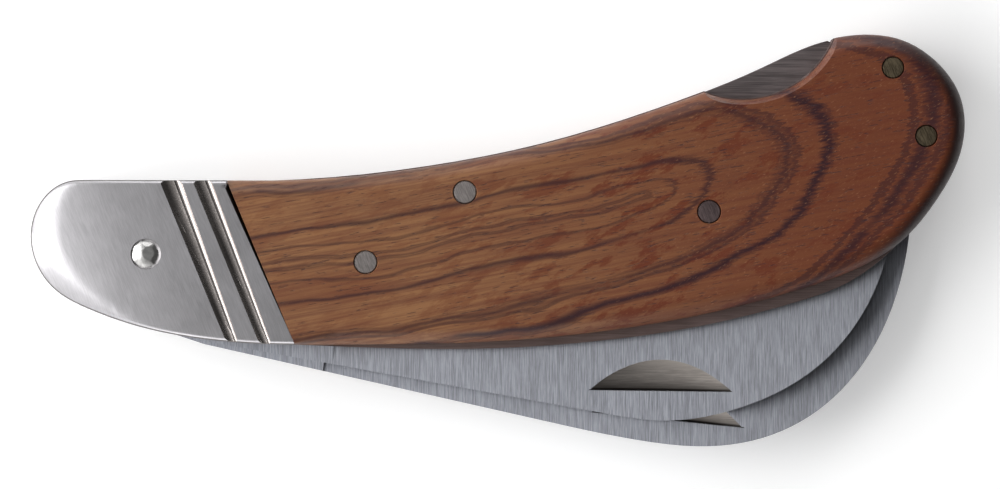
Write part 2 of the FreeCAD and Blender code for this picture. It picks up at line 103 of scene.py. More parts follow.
# ---------------------------------------------------------------- finishes
class Graph:
    """One material's node tree, with a short call for each kind of node."""

    def __init__(self, name: str) -> None:
        """Starts a material with a principled shader.

        Args:
            name: name of the material.
        """
        self.material = bpy.data.materials.new(name)
        self.material.use_nodes = True
        self.tree = self.material.node_tree
        self.tree.nodes.clear()
        self.shader = self.tree.nodes.new("ShaderNodeBsdfPrincipled")
        output = self.tree.nodes.new("ShaderNodeOutputMaterial")
        self.tree.links.new(self.shader.outputs[0], output.inputs[0])

    def feed(self, socket: Socket, value: Input) -> None:
        """Gives a socket a constant or another node's output.

        Args:
            socket: the input socket.
            value: a number, a colour or an output socket.
        """
        if isinstance(value, bpy.types.NodeSocket):
            self.tree.links.new(value, socket)
        elif isinstance(value, tuple) and len(value) == 3 and socket.type == "RGBA":
            socket.default_value = (*value, 1.0)
        else:
            socket.default_value = value

    def node(self, kind: str, inputs: dict[int | str, Input], output: int = 0, **settings: str) -> Socket:
        """Adds a node.

        Args:
            kind: the node's type, without its ShaderNode prefix.
            inputs: value or link for each input, by name or number.
            output: number of the output that is wanted.
            settings: properties of the node.

        Returns:
            The output socket.
        """
        made = self.tree.nodes.new("ShaderNode" + kind)
        for key, value in settings.items():
            setattr(made, key, value)
        for key, value in inputs.items():
            self.feed(made.inputs[key], value)
        return made.outputs[output]

    def cells(self, size: Colour, turn: float = 0.0, shift: Colour = (0.0, 0.0, 0.0)) -> Socket:
        """Object coordinates counted in cells of a given size.

        Args:
            size: length, width and height of a cell, in millimetres.
            turn: how far the cells are turned about Z.
            shift: where the count starts, in millimetres.

        Returns:
            A vector that grows by one for each cell.
        """
        inputs = {
            "Vector": self.node("TexCoord", {}, 3),
            "Location": tuple(s * MM for s in shift),
            "Rotation": (0.0, 0.0, turn),
            "Scale": tuple(s * MM for s in size),
        }
        return self.node("Mapping", inputs, vector_type="TEXTURE")

    def noise(self, at: Socket, detail: float = 2.0, roughness: float = 0.5) -> Socket:
        """Smooth noise from 0 to 1 with one feature for each cell."""
        inputs = {"Vector": at, "Scale": 1.0, "Detail": detail, "Roughness": roughness}
        return self.node("TexNoise", inputs)

    def split(self, at: Socket) -> tuple[Socket, Socket, Socket]:
        """The three numbers of a vector."""
        outputs = self.node("SeparateXYZ", {0: at}).node.outputs
        return outputs[0], outputs[1], outputs[2]

    def math(self, operation: str, *values: Input) -> Socket:
        """The result of a Math node."""
        return self.node("Math", dict(enumerate(values)), operation=operation)

    def fade(self, value: Input, start: float, end: float, low: Input = 0.0, high: Input = 1.0) -> Socket:
        """Goes smoothly from low at start to high at end."""
        inputs = {0: value, 1: start, 2: end, 3: low, 4: high}
        return self.node("MapRange", inputs, interpolation_type="SMOOTHSTEP")

    def mix(self, share: Input, low: Input, high: Input) -> Socket:
        """Two colours mixed."""
        return self.node("Mix", {0: share, 6: low, 7: high}, 2, data_type="RGBA")

    def bump(self, height: Input, depth: float, under: Socket | None = None) -> Socket:
        """A normal that follows a height.

        Args:
            height: from 0 to 1.
            depth: distance that a height of 1 stands for, in millimetres.
            under: a normal that this one is laid over.

        Returns:
            The normal.
        """
        inputs: dict[int | str, Input] = {"Strength": 1.0, "Distance": depth * MM, "Height": height}
        if under is not None:
            inputs["Normal"] = under
        return self.node("Bump", inputs)

    def set(self, **inputs: Input) -> None:
        """Sets inputs of the shader: Base_Color stands for Base Color."""
        for key, value in inputs.items():
            self.feed(self.shader.inputs[key.replace("_", " ")], value)


class Finish(ABC):
    """What a surface is made of and how it has been worked."""

    name: str

    @abstractmethod
    def paint(self, graph: Graph) -> None:
        """Builds the finish's nodes.

        Args:
            graph: the material that they go in.
        """

    def material(self) -> bpy.types.Material:
        """Makes the finish's material, once.

        Returns:
            The material.
        """
        known = bpy.data.materials.get(self.name)
        if known is not None:
            return known
        graph = Graph(self.name)
        self.paint(graph)
        return graph.material


@dataclass(frozen=True)
class Ring:
    """A dark growth ring: its distance from the heart, its width and its strength."""

    at: float
    width: float
    strength: float


@dataclass(frozen=True)
class Rosewood(Finish):
    """Oiled rosewood with dark rings that close in an arch towards the butt.

    The rings lie round a heart line that rises with the handle. Lengths are in millimetres, and a cell is
    the length, height and depth of one feature of a noise.
    """

    name: str
    heart: Colour = (0.9, 0.20, 0.0016)  # height, slope and bend of the heart line
    arch_x: float = 18.0  # where the rings start to close
    arch_reach: float = 22.0
    arch_half: float = 11.6
    turn: float = math.radians(11)
    shift: Colour = (0.0, 0.0, 0.0)
    light: Colour = (0.250, 0.118, 0.050)
    middle: Colour = (0.150, 0.058, 0.026)
    red: Colour = (0.105, 0.018, 0.005)
    dark: Colour = (0.020, 0.003, 0.007)
    fleck: Colour = (0.36, 0.17, 0.085)
    butt_shade: Colour = (0.012, 0.003, 0.003)  # painted shade on the rim of the butt, where it faces away from the light
    feather_cell: Colour = (2.4, 0.30, 0.8)
    feather_reach: float = 3.4  # how far the rings are frayed along the grain
    wander_cell: Colour = (20, 8, 9)
    wander_reach: float = 5.0  # how far the rings stray across the grain
    fading_cell: Colour = (11, 4, 4)
    thin_rings: float = 9.0  # fine rings for each arch width
    streak_cell: Colour = (16, 0.55, 1.5)
    broad_cell: Colour = (26, 9, 9)
    mottle_cell: Colour = (6.0, 2.1, 2.0)
    pore_cell: Colour = (1.7, 0.15, 0.4)
    pore_depth: float = 0.035
    fleck_cell: Colour = (0.60, 0.17, 0.4)
    fleck_shift: Colour = (3.0, 7.0, 1.0)
    rings: tuple[Ring, ...] = (
        Ring(0.37, 0.045, 0.75),
        Ring(0.80, 0.05, 0.7),
        Ring(1.03, 0.065, 0.95),
        Ring(1.62, 0.09, 0.85),
        Ring(2.0, 0.16, 0.95),
    )

    def ring_distance(self, graph: Graph) -> Socket:
        """Measures how far each point lies from the heart.

        Args:
            graph: the material.

        Returns:
            The distance, in arch widths.
        """
        x, y, _ = graph.split(graph.cells((1, 1, 1)))
        feather = graph.noise(graph.cells(self.feather_cell, self.turn, self.shift), 3, 0.6)
        wander = graph.noise(graph.cells(self.wander_cell, self.turn, self.shift), 3)
        along = graph.math("MULTIPLY_ADD", graph.math("SUBTRACT", feather, 0.5), self.feather_reach, x)
        height, slope, bend = self.heart
        climb = graph.math("MULTIPLY_ADD", graph.math("MULTIPLY", x, x), bend, height)
        heart = graph.math("MULTIPLY_ADD", x, slope, climb)
        across = graph.math("SUBTRACT", y, heart)
        across = graph.math("MULTIPLY_ADD", graph.math("SUBTRACT", wander, 0.5), self.wander_reach, across)
        beyond = graph.math("MAXIMUM", graph.math("SUBTRACT", along, self.arch_x), 0.0)
        beyond = graph.math("DIVIDE", beyond, self.arch_reach)
        across = graph.math("DIVIDE", across, self.arch_half)
        square = graph.math("ADD", graph.math("POWER", beyond, 2.0), graph.math("MULTIPLY", across, across))
        return graph.math("SQRT", square)

    def figure(self, graph: Graph) -> Socket:
        """Lays out the strong rings and the fine lines between them.

        Args:
            graph: the material.

        Returns:
            How dark the rings are, from 0 to 1.
        """
        distance = self.ring_distance(graph)
        fading = graph.noise(graph.cells(self.fading_cell, self.turn, self.shift), 2)
        total: Socket | None = None
        for ring in self.rings:
            off = graph.math("ABSOLUTE", graph.math("SUBTRACT", distance, ring.at))
            line = graph.fade(off, 0.0, ring.width, ring.strength, 0.0)
            total = line if total is None else graph.math("MAXIMUM", total, line)
        total = graph.math("MULTIPLY", total, graph.fade(fading, 0.32, 0.48, 0.45, 1.0))
        inputs = {"W": graph.math("MULTIPLY", distance, self.thin_rings), "Scale": 1.0, "Detail": 3.0}
        thin = graph.node("TexNoise", inputs, noise_dimensions="1D")
        lines = graph.fade(thin, 0.56, 0.66, 0.0, 0.55)
        return graph.math("MAXIMUM", total, lines)

    def paint(self, graph: Graph) -> None:
        """Builds the colour from streaks, rings, pores and flecks, with painted shade on the rim of the butt.

        Args:
            graph: the material.
        """
        streak = graph.noise(graph.cells(self.streak_cell, self.turn, self.shift), 5, 0.65)
        broad = graph.noise(graph.cells(self.broad_cell, self.turn, self.shift), 2)
        mottle = graph.noise(graph.cells(self.mottle_cell, self.turn * 2.5, self.shift), 6, 0.7)
        x, _, _ = graph.split(graph.cells((1, 1, 1)))
        towards_butt = graph.fade(x, -22.0, 50.0, 0.0, 0.82)
        mottled = graph.math("MULTIPLY", graph.fade(mottle, 0.44, 0.60), graph.fade(x, -20.0, 20.0, 0.3, 0.9))
        colour = graph.mix(graph.fade(streak, 0.32, 0.68), self.light, self.middle)
        redness = graph.math("MAXIMUM", towards_butt, graph.fade(broad, 0.45, 0.75, 0.0, 0.6))
        colour = graph.mix(graph.math("MAXIMUM", redness, mottled), colour, self.red)
        colour = graph.mix(self.figure(graph), colour, self.dark)

        pores = graph.noise(graph.cells(self.pore_cell, self.turn, self.shift), 1)
        pore = graph.fade(pores, 0.34, 0.27)
        colour = graph.mix(graph.math("MULTIPLY", pore, 0.6), colour, self.dark)
        flecks = graph.noise(graph.cells(self.fleck_cell, self.turn * 3, self.fleck_shift), 2)
        fleck = graph.fade(flecks, 0.60, 0.74, 0.0, 0.34)
        fleck = graph.math("MULTIPLY", fleck, graph.fade(x, 8.0, 28.0, 0.25))
        colour = graph.mix(fleck, colour, self.fleck)

        # painted shade: the butt's rim is darkened where its normal turns towards +X, away from the key light
        facing_butt, _, _ = graph.split(graph.node("TexCoord", {}, 1))
        at_butt = graph.fade(x, 38.0, 52.0, 0.0, 0.95)
        butt_shade_share = graph.math("MULTIPLY", graph.fade(facing_butt, 0.03, 0.60), at_butt)
        colour = graph.mix(butt_shade_share, colour, self.butt_shade)

        rough = graph.fade(streak, 0.3, 0.7, 0.40, 0.50)
        rough = graph.math("ADD", rough, graph.math("MULTIPLY", pore, 0.2))
        skin = graph.bump(streak, 0.02)
        skin = graph.bump(graph.math("SUBTRACT", 1.0, pore), self.pore_depth, skin)
        graph.set(Base_Color=colour, Roughness=rough, Normal=skin, Specular_IOR_Level=0.35)


@dataclass(frozen=True)
class Steel(Finish):
    """Brushed steel: fine parallel lines, a few deeper scratches and dull patches.

    Lengths are in millimetres.
    """

    name: str
    colour: Colour = (0.50, 0.50, 0.51)
    grain: Grain = Grain.ALONG
    roughness: float = 0.34
    line_width: float = 0.12
    line_length: float = 2.0
    contrast: float = 0.25
    depth: float = 0.003
    scratches: float = 0.2
    patches: float = 0.2
    spread: float = 0.0  # how much wider the gloss spreads across the lines than along them
    mark_cell: Colour = (9.0, 0.16, 2.0)  # of the deeper scratches
    mark_turn: float = math.radians(7)  # between them and the lines
    patch_cell: Colour = (7, 7, 7)
    dullness: float = 0.72  # of a patch's colour

    def painted_light_and_shade(self, graph: Graph, colour: Socket) -> Socket:
        """The colour with any painted shade or painted highlight laid over it."""
        return colour

    def paint(self, graph: Graph) -> None:
        """Builds the lines, scratches and patches.

        Args:
            graph: the material.
        """
        turn = self.grain.value
        lines = graph.noise(graph.cells((self.line_length, self.line_width, 1.0), turn), 3, 0.7)
        marks = graph.noise(graph.cells(self.mark_cell, turn + self.mark_turn), 2, 0.6)
        scratch = graph.fade(marks, 0.66, 0.72)
        patch = graph.noise(graph.cells(self.patch_cell), 3, 0.6)
        darker = tuple(c * (1 - self.contrast) for c in self.colour)
        lighter = tuple(min(1.0, c * (1 + self.contrast)) for c in self.colour)
        colour = graph.mix(graph.fade(lines, 0.3, 0.7), darker, lighter)
        colour = graph.mix(graph.math("MULTIPLY", scratch, self.scratches), colour, lighter)
        dull = tuple(c * self.dullness for c in self.colour)
        colour = graph.mix(graph.fade(patch, 0.42, 0.75, 0.0, self.patches * 2), colour, dull)
        rough = graph.fade(patch, 0.3, 0.75, self.roughness, self.roughness + self.patches)
        rough = graph.math("MULTIPLY_ADD", graph.math("SUBTRACT", lines, 0.5), 0.12, rough)
        skin = graph.bump(lines, self.depth)
        skin = graph.bump(graph.math("SUBTRACT", 1.0, scratch), self.depth * 1.5, skin)
        colour = self.painted_light_and_shade(graph, colour)
        graph.set(Base_Color=colour, Roughness=rough, Normal=skin, Metallic=1.0)
        if self.spread > 0:
            across = (-math.sin(turn), math.cos(turn), 0.0)
            settings = {"vector_type": "VECTOR", "convert_from": "OBJECT", "convert_to": "WORLD"}
            graph.set(Tangent=graph.node("VectorTransform", {0: across}, **settings), Anisotropic=self.spread)


@dataclass(frozen=True)
class NickSteel(Steel):
    """Milled steel with painted shade along the nick's straight side and a painted highlight higher up the
    nick.
    """

    colour: Colour = (0.50, 0.455, 0.42)
    roughness: float = 0.30
    line_width: float = 0.14
    line_length: float = 3.0
    contrast: float = 0.20
    depth: float = 0.002
    scratches: float = 0.1
    patches: float = 0.05
    x: float = 0.0  # the middle of the straight side
    y: float = 0.0
    slope: float = 0.0
    reach: float = 1.9  # height above the straight side where the painted shade ends
    height: float = 4.3  # height where the painted highlight is brightest
    deepest: float = 0.15
    corner: Colour = (0.01, 0.008, 0.008)  # of the painted shade in the crease along the straight side

    def painted_light_and_shade(self, graph: Graph, colour: Socket) -> Socket:
        """Lays the painted shade and the painted highlight over the colour.

        Args:
            graph: the material.
            colour: the colour of the clean steel.

        Returns:
            The colour, with painted shade darker towards the straight side and a painted highlight higher up.
        """
        x, y, _ = graph.split(graph.cells((1, 1, 1)))
        rise = graph.math("MULTIPLY", graph.math("SUBTRACT", x, self.x), math.tan(self.slope))
        above = graph.math("SUBTRACT", graph.math("SUBTRACT", y, self.y), rise)
        # painted shade darkens the steel towards the deep straight side; a painted highlight lightens it
        # higher up
        share = graph.fade(above, -0.3, self.reach, self.deepest, 1.0)
        dark = tuple(c * 0.25 for c in self.colour)
        light = tuple(min(1.0, c * 1.5) for c in self.colour)
        colour = graph.mix(graph.fade(above, self.reach, self.height), graph.mix(share, dark, colour), light)
        # painted shade: a dark line in the crease just above the straight side
        return graph.mix(graph.fade(above, 0.03, 0.22, 0.75, 0.0), colour, self.corner)


@dataclass(frozen=True)
class Paper(Finish):
    """The pale matt floor, lit a little from underneath."""

    name: str = "pale_paper"
    colour: Colour = (0.82, 0.82, 0.82)
    glow: float = 0.36
    mottle_cell: Colour = (60, 60, 60)
    dimness: float = 0.985

    def paint(self, graph: Graph) -> None:
        """Builds a very faint mottle and the glow.

        Args:
            graph: the material.
        """
        mottle = graph.noise(graph.cells(self.mottle_cell), 2)
        dim = tuple(c * self.dimness for c in self.colour)
        graph.set(Base_Color=graph.mix(mottle, dim, self.colour), Roughness=0.9)
        graph.set(Emission_Color=self.colour, Emission_Strength=self.glow)


BOLSTER = Steel(
    "satin_bolster", (0.45, 0.44, 0.455), Grain.SLANTED, roughness=0.36, contrast=0.09, depth=0.0010,
    scratches=0.12, patches=0.06,
)
# painted shade: a dark steel for the thin band along a bolster's outline, so that the outline reads as a dark
# line
EDGE_SHADE = Steel("painted_edge_shade", (0.18, 0.17, 0.17), roughness=0.50, depth=0.002)
FLUTE = Steel(
    "cut_flute", (0.46, 0.42, 0.40), Grain.SLANTED, roughness=0.20, line_width=0.14, line_length=0.2,
    contrast=0.22, depth=0.005, patches=0.10,
)
BLADE = Steel(
    "brushed_blade", (0.325, 0.335, 0.37), Grain.ACROSS, roughness=0.46, line_width=0.13,
    line_length=3.2, contrast=0.30, depth=0.0015, scratches=0.25, patches=0.05, spread=0.80,
)
LINER = Steel("dull_liner", (0.19, 0.14, 0.13), roughness=0.42, line_width=0.10, line_length=6.0)
LOCK = Steel(
    "ground_lock", (0.22, 0.19, 0.19), line_width=0.16, line_length=7.0, contrast=0.35, scratches=0.25,
    patches=0.15,
)
SPRING = Steel(
    "tempered_spring", (0.20, 0.20, 0.23), roughness=0.35, line_width=0.08, line_length=5.0,
    contrast=0.2, depth=0.002, patches=0.15,
)
RIVET = Steel(
    "hammered_rivet", (0.62, 0.61, 0.60), roughness=0.28, line_width=0.40, line_length=0.5,
    contrast=0.10, scratches=0.1, patches=0.08,
)
PIN = Steel(
    "filed_pin", (0.27, 0.245, 0.235), Grain.SLANTED, roughness=0.40, line_length=1.2, contrast=0.30,
    scratches=0.3,
)
DARK_PIN = Steel(
    "stained_pin", (0.12, 0.09, 0.09), Grain.SLANTED, roughness=0.42, line_length=1.2, contrast=0.35,
    scratches=0.3, patches=0.3,
)
BUTT_PIN = Steel(
    "brassy_pin", (0.125, 0.10, 0.065), Grain.SLANTED, roughness=0.38, line_width=0.16, line_length=1.2,
    contrast=0.5, depth=0.004, scratches=0.4, patches=0.25,
)


# ---------------------------------------------------------------- workshop
class Blank:
    """A piece of stock that bmesh operators work into shape."""

    def __init__(self, bm: BMesh) -> None:
        """Takes a bmesh to work on."""
        self.bm = bm

    @classmethod
    def copied(cls, node: str, whole_faces: bool = True) -> "Blank":
        """A merged copy of a CAD node.

        Args:
            node: the CAD node.
            whole_faces: whether the triangles of each flat face are joined.

        Returns:
            The blank.
        """
        bm = bmesh.new()
        bm.from_mesh(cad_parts[node].data)
        bmesh.ops.remove_doubles(bm, verts=bm.verts[:], dist=WELD)
        if whole_faces:
            bmesh.ops.dissolve_limit(bm, angle_limit=FLAT_UNDER, verts=bm.verts[:], edges=bm.edges[:])
        return cls(bm)

    @classmethod
    def outlined(cls, node: str, height: float) -> "Blank":
        """A flat face with the outer outline that a CAD node has at a height.

        Args:
            node: the CAD node.
            height: where the node is cut.

        Returns:
            The blank, one face at that height.
        """
        bm = bmesh.new()
        bm.from_mesh(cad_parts[node].data)
        bmesh.ops.remove_doubles(bm, verts=bm.verts[:], dist=WELD)
        bmesh.ops.bisect_plane(
            bm,
            geom=[*bm.verts, *bm.edges, *bm.faces],
            dist=WELD / 10,
            plane_co=(0, 0, height),
            plane_no=(0, 0, 1),
            clear_inner=True,
            clear_outer=True,
        )
        loops = sorted(islands(bm), key=spread)
        inner = [v for loop in loops[:-1] for v in loop]
        bmesh.ops.delete(bm, geom=inner, context="VERTS")
        bmesh.ops.remove_doubles(bm, verts=bm.verts[:], dist=SHORTEST)
        bmesh.ops.contextual_create(bm, geom=bm.edges[:])
        bm.faces.ensure_lookup_table()
        if bm.faces[0].normal.z < 0:
            bmesh.ops.reverse_faces(bm, faces=bm.faces[:])
        return cls(bm)

    def thicken(self, low: float, high: float) -> None:
        """Makes the flat face a plate.

        Args:
            low: height of its underside.
            high: height of its face.
        """
        for vert in self.bm.verts:
            vert.co.z = low
        made = bmesh.ops.extrude_face_region(self.bm, geom=self.bm.faces[:])
        raised = [v for v in made["geom"] if isinstance(v, BMVert)]
        bmesh.ops.translate(self.bm, verts=raised, vec=(0, 0, high - low))
        bmesh.ops.recalc_face_normals(self.bm, faces=self.bm.faces[:])

    def edges(self, test: Callable[[BMEdge], bool]) -> list[BMEdge]:
        """The edges that pass a test."""
        return [e for e in self.bm.edges if test(e)]

    def sharp(self, over: float = 35.0) -> list[BMEdge]:
        """The edges that turn by more than an angle, in degrees."""
        limit = math.radians(over)
        return self.edges(lambda e: len(e.link_faces) == 2 and e.calc_face_angle(0.0) > limit)

    def bevel(self, edges: Sequence[BMEdge], width: float, segments: int = 2, clamp: bool = True) -> None:
        """Rounds edges.

        Args:
            edges: the edges.
            width: how far the rounding reaches.
            segments: how many faces it has.
            clamp: whether the shortest edge limits the rounding.
        """
        bmesh.ops.bevel(
            self.bm,
            geom=list(edges),
            offset=width,
            offset_type="OFFSET",
            segments=segments,
            profile=0.5,
            affect="EDGES",
            clamp_overlap=clamp,
            material=-1,
        )

    def cut(self, point: Vector, normal: Vector, clear: bool = False) -> None:
        """Cuts every face along a plane.

        Args:
            point: a point on the plane.
            normal: the way that the plane faces.
            clear: whether the stock on that side is taken off and the cut closed.
        """
        made = bmesh.ops.bisect_plane(
            self.bm,
            geom=[*self.bm.verts, *self.bm.edges, *self.bm.faces],
            dist=WELD,
            plane_co=point,
            plane_no=normal,
            clear_outer=clear,
        )
        if clear:
            rim = [e for e in made["geom_cut"] if isinstance(e, BMEdge)]
            bmesh.ops.edgenet_fill(self.bm, edges=rim)

    def grid(self, step: float) -> None:
        """Cuts the plate into cells, so that no face is a large one.

        Args:
            step: length of a cell's side.
        """
        low = Vector(min(v.co[i] for v in self.bm.verts) for i in range(3))
        high = Vector(max(v.co[i] for v in self.bm.verts) for i in range(3))
        for axis in (Vector((1, 0, 0)), Vector((0, 1, 0))):
            reach = (high - low).dot(axis)
            for i in range(1, math.ceil(reach / step)):
                self.cut(low + axis * step * i, axis)

    def turn_to(self, side: Side) -> None:
        """Mirrors the piece to the rear face if that is its side.

        Args:
            side: its side.
        """
        if side is Side.REAR:
            bmesh.ops.scale(self.bm, vec=(1, 1, -1), verts=self.bm.verts[:])
            bmesh.ops.translate(self.bm, vec=(0, 0, 2 * MID_Z), verts=self.bm.verts[:])
            bmesh.ops.reverse_faces(self.bm, faces=self.bm.faces[:])

    def finish(self, made: "Making", tools: Sequence["Tool"] = ()) -> bpy.types.Object:
        """Makes the finished piece.

        Args:
            made: the piece's name and what it belongs to.
            tools: what is carved out of it.

        Returns:
            The piece's object.
        """
        mesh = bpy.data.meshes.new(made.name)
        if tools:
            bmesh.ops.triangulate(self.bm, faces=self.bm.faces[:])
        self.bm.to_mesh(mesh)
        self.bm.free()
        for layer in ("custom_normal", "sharp_edge", "sharp_face"):
            if layer in mesh.attributes:
                mesh.attributes.remove(mesh.attributes[layer])
        piece = bpy.data.objects.new(made.name, mesh)
        bpy.context.scene.collection.objects.link(piece)
        mesh.materials.append(made.finish.material())
        if made.wall is not None:
            mesh.materials.append(made.wall.material())
        for tool in tools:
            carve(piece, tool)
        piece.data.shade_smooth()
        piece.data.set_sharp_from_angle(angle=SMOOTH_UNDER)
        part_finishes(piece.data)
        normals = piece.modifiers.new("normals", "WEIGHTED_NORMAL")
        normals.keep_sharp = True
        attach(piece, made.body)
        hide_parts(made.node)
        LOG.info("%s: %d faces, on %s", made.name, len(piece.data.polygons), made.body)
        return piece


@dataclass
class Making:
    """What a piece is called, what it is finished with and what it stands for."""

    name: str
    finish: Finish
    slot: str
    node: str
    body: str = "handle"
    wall: Finish | None = None  # finish of the faces that were marked as walls; on a bolster it is painted shade along the outline


@dataclass
class Tool:
    """A closed shape that is carved out of a piece, and the finish that it leaves."""

    blank: Blank
    finish: Finish | None = None


def islands(bm: BMesh) -> list[list[BMVert]]:
    """Finds the separate loops of a bmesh.

    Args:
        bm: the bmesh.

    Returns:
        The vertices of each loop.
    """
    found, seen = [], set()
    for start in bm.verts:
        if start in seen:
            continue
        stack, loop = [start], []
        while stack:
            vert = stack.pop()
            if vert in seen:
                continue
            seen.add(vert)
            loop.append(vert)
            stack += [e.other_vert(vert) for e in vert.link_edges]
        found.append(loop)
    return found


def spread(loop: Iterable[BMVert]) -> float:
    """How far a loop reaches along X."""
    along = [v.co.x for v in loop]
    return max(along) - min(along)


def turned(profile: Sequence[tuple[float, float]], centre: Vector, steps: int = 48) -> BMesh:
    """A round solid on an upright axis, spun from the outline of its half.

    Args:
        profile: radius and height of each corner, from bottom to top; the axis is joined by itself.
        centre: a point on the axis.
        steps: how many sides it has.

    Returns:
        The bmesh.
    """
    bm = bmesh.new()
    points = list(profile)
    if points[0][0] > 0:
        points.insert(0, (0.0, points[0][1]))
    if points[-1][0] > 0:
        points.append((0.0, points[-1][1]))
    verts = [bm.verts.new((centre.x + r, centre.y, z)) for r, z in points]
    edges = [bm.edges.new(pair) for pair in zip(verts, verts[1:])]
    bmesh.ops.spin(
        bm,
        geom=[*verts, *edges],
        cent=(centre.x, centre.y, 0),
        axis=(0, 0, 1),
        angle=2 * math.pi,
        steps=steps,
        use_merge=True,
    )
    bmesh.ops.remove_doubles(bm, verts=bm.verts[:], dist=WELD)
    bmesh.ops.recalc_face_normals(bm, faces=bm.faces[:])
    return bm


def off_line(place: Vector, start: Vector, end: Vector) -> float:
    """Distance from a place to the stretch between two points, start and end."""
    way = end - start
    share = (place - start).dot(way) / way.length_squared
    return (place - start - way * min(max(share, 0.0), 1.0)).length


def volume(mesh: bpy.types.Mesh) -> float:
    """Measures how much stock a mesh holds.

    Args:
        mesh: the mesh.

    Returns:
        Its volume, or 0 if it isn't closed.
    """
    bm = bmesh.new()
    bm.from_mesh(mesh)
    closed = all(e.is_manifold for e in bm.edges)
    found = bm.calc_volume() if closed else 0.0
    bm.free()
    return found


def mend(mesh: bpy.types.Mesh) -> None:
    """Welds the corners that a cut has left side by side, and closes the pinholes between them.

    Args:
        mesh: the mesh.
    """
    bm = bmesh.new()
    bm.from_mesh(mesh)
    bmesh.ops.remove_doubles(bm, verts=bm.verts[:], dist=WELD)
    bmesh.ops.dissolve_degenerate(bm, edges=bm.edges[:], dist=WELD)
    bmesh.ops.holes_fill(bm, edges=[e for e in bm.edges if e.is_boundary], sides=0)
    bm.to_mesh(mesh)
    bm.free()


def cut_once(piece: bpy.types.Object) -> bpy.types.Mesh:
    """Makes the cut that is set up on a piece.

    Args:
        piece: the piece, which stays as it is.

    Returns:
        The mesh after the cut.
    """
    piece.update_tag()
    graph = bpy.context.evaluated_depsgraph_get()
    shaped = bpy.data.meshes.new_from_object(piece.evaluated_get(graph))
    mend(shaped)
    return shaped


def carve(piece: bpy.types.Object, tool: Tool) -> None:
    """Carves one tool out of a piece.

    The cut is exact but now and then loses the piece, so its volume is checked and it is made again if
    more has gone than the tool holds.

    Args:
        piece: the piece.
        tool: the tool, which is used up.
    """
    mesh = bpy.data.meshes.new("carving_tool")
    tool.blank.bm.to_mesh(mesh)
    tool.blank.bm.free()
    mesh.materials.append(tool.finish.material() if tool.finish else piece.data.materials[0])
    cutter = bpy.data.objects.new("carving_tool", mesh)
    bpy.context.scene.collection.objects.link(cutter)
    step = piece.modifiers.new("carve", "BOOLEAN")
    step.operation, step.solver, step.object = "DIFFERENCE", "EXACT", cutter
    step.material_mode = "TRANSFER"
    before, most = volume(piece.data), volume(mesh)
    for attempt in range(CUT_TRIES):
        shaped = cut_once(piece)
        if 0 < before - volume(shaped) < most:
            break
        LOG.info("%s: cut %d is made again", piece.name, attempt + 1)
        bpy.data.meshes.remove(shaped)
        shaped = piece.data.copy()
    piece.modifiers.clear()
    old, piece.data = piece.data, shaped
    bpy.data.meshes.remove(old)
    shaped.name = piece.name
    bpy.data.objects.remove(cutter)
    bpy.data.meshes.remove(mesh)


def part_finishes(mesh: bpy.types.Mesh) -> None:
    """Keeps the edges sharp where a carved surface with its own finish begins.

    Args:
        mesh: the carved mesh.
    """
    seen: dict[int, int] = {}
    sharp = mesh.attributes.get("sharp_edge") or mesh.attributes.new("sharp_edge", "BOOLEAN", "EDGE")
    for face in mesh.polygons:
        for corner in face.loop_indices:
            edge = mesh.loops[corner].edge_index
            if seen.setdefault(edge, face.material_index) != face.material_index:
                sharp.data[edge].value = True


def middle_of(node: str) -> Vector:
    """The middle of a CAD node's box."""
    low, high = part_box(node)
    return (low + high) / 2


# ---------------------------------------------------------------- handle
PINS = ("rocker_pin", "middle_pin", "fulcrum_pin", "upper_butt_pin", "lower_butt_pin")
PIN_FINISHES = {"fulcrum_pin": DARK_PIN, "upper_butt_pin": BUTT_PIN, "lower_butt_pin": BUTT_PIN}
SCOOP = Vector((30.1 * MM, 29.8 * MM))  # the middle of the thumb scoop's round
TOOL_RISE = MM  # how far a cutter stands above the face
ON_SEAM = 0.15 * MM  # edges nearer to the seam's line than this lie on it


def face_height() -> float:
    """Height of the front scale's face, which the other front faces are measured from."""
    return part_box("front_scale")[1].z


def rim_edges(blank: Blank, height: float) -> list[BMEdge]:
    """The edges of a plate that lie at a height."""
    return blank.edges(lambda e: all(abs(v.co.z - height) < WELD for v in e.verts))


def longest(edges: Iterable[BMEdge]) -> BMEdge:
    """The longest edge, which on a scale or a bolster lies on the straight seam between them."""
    return max(edges, key=lambda e: e.calc_length())


def along(edges: Iterable[BMEdge], seam: BMEdge) -> set[BMEdge]:
    """Finds the edges on the seam's line.

    Args:
        edges: edges of the outline.
        seam: the seam's long edge.

    Returns:
        Those that lie on its line.
    """
    foot = seam.verts[0].co.xy
    way = (seam.verts[1].co.xy - foot).normalized()
    return {e for e in edges if all(abs((v.co.xy - foot).cross(way)) < ON_SEAM for v in e.verts)}


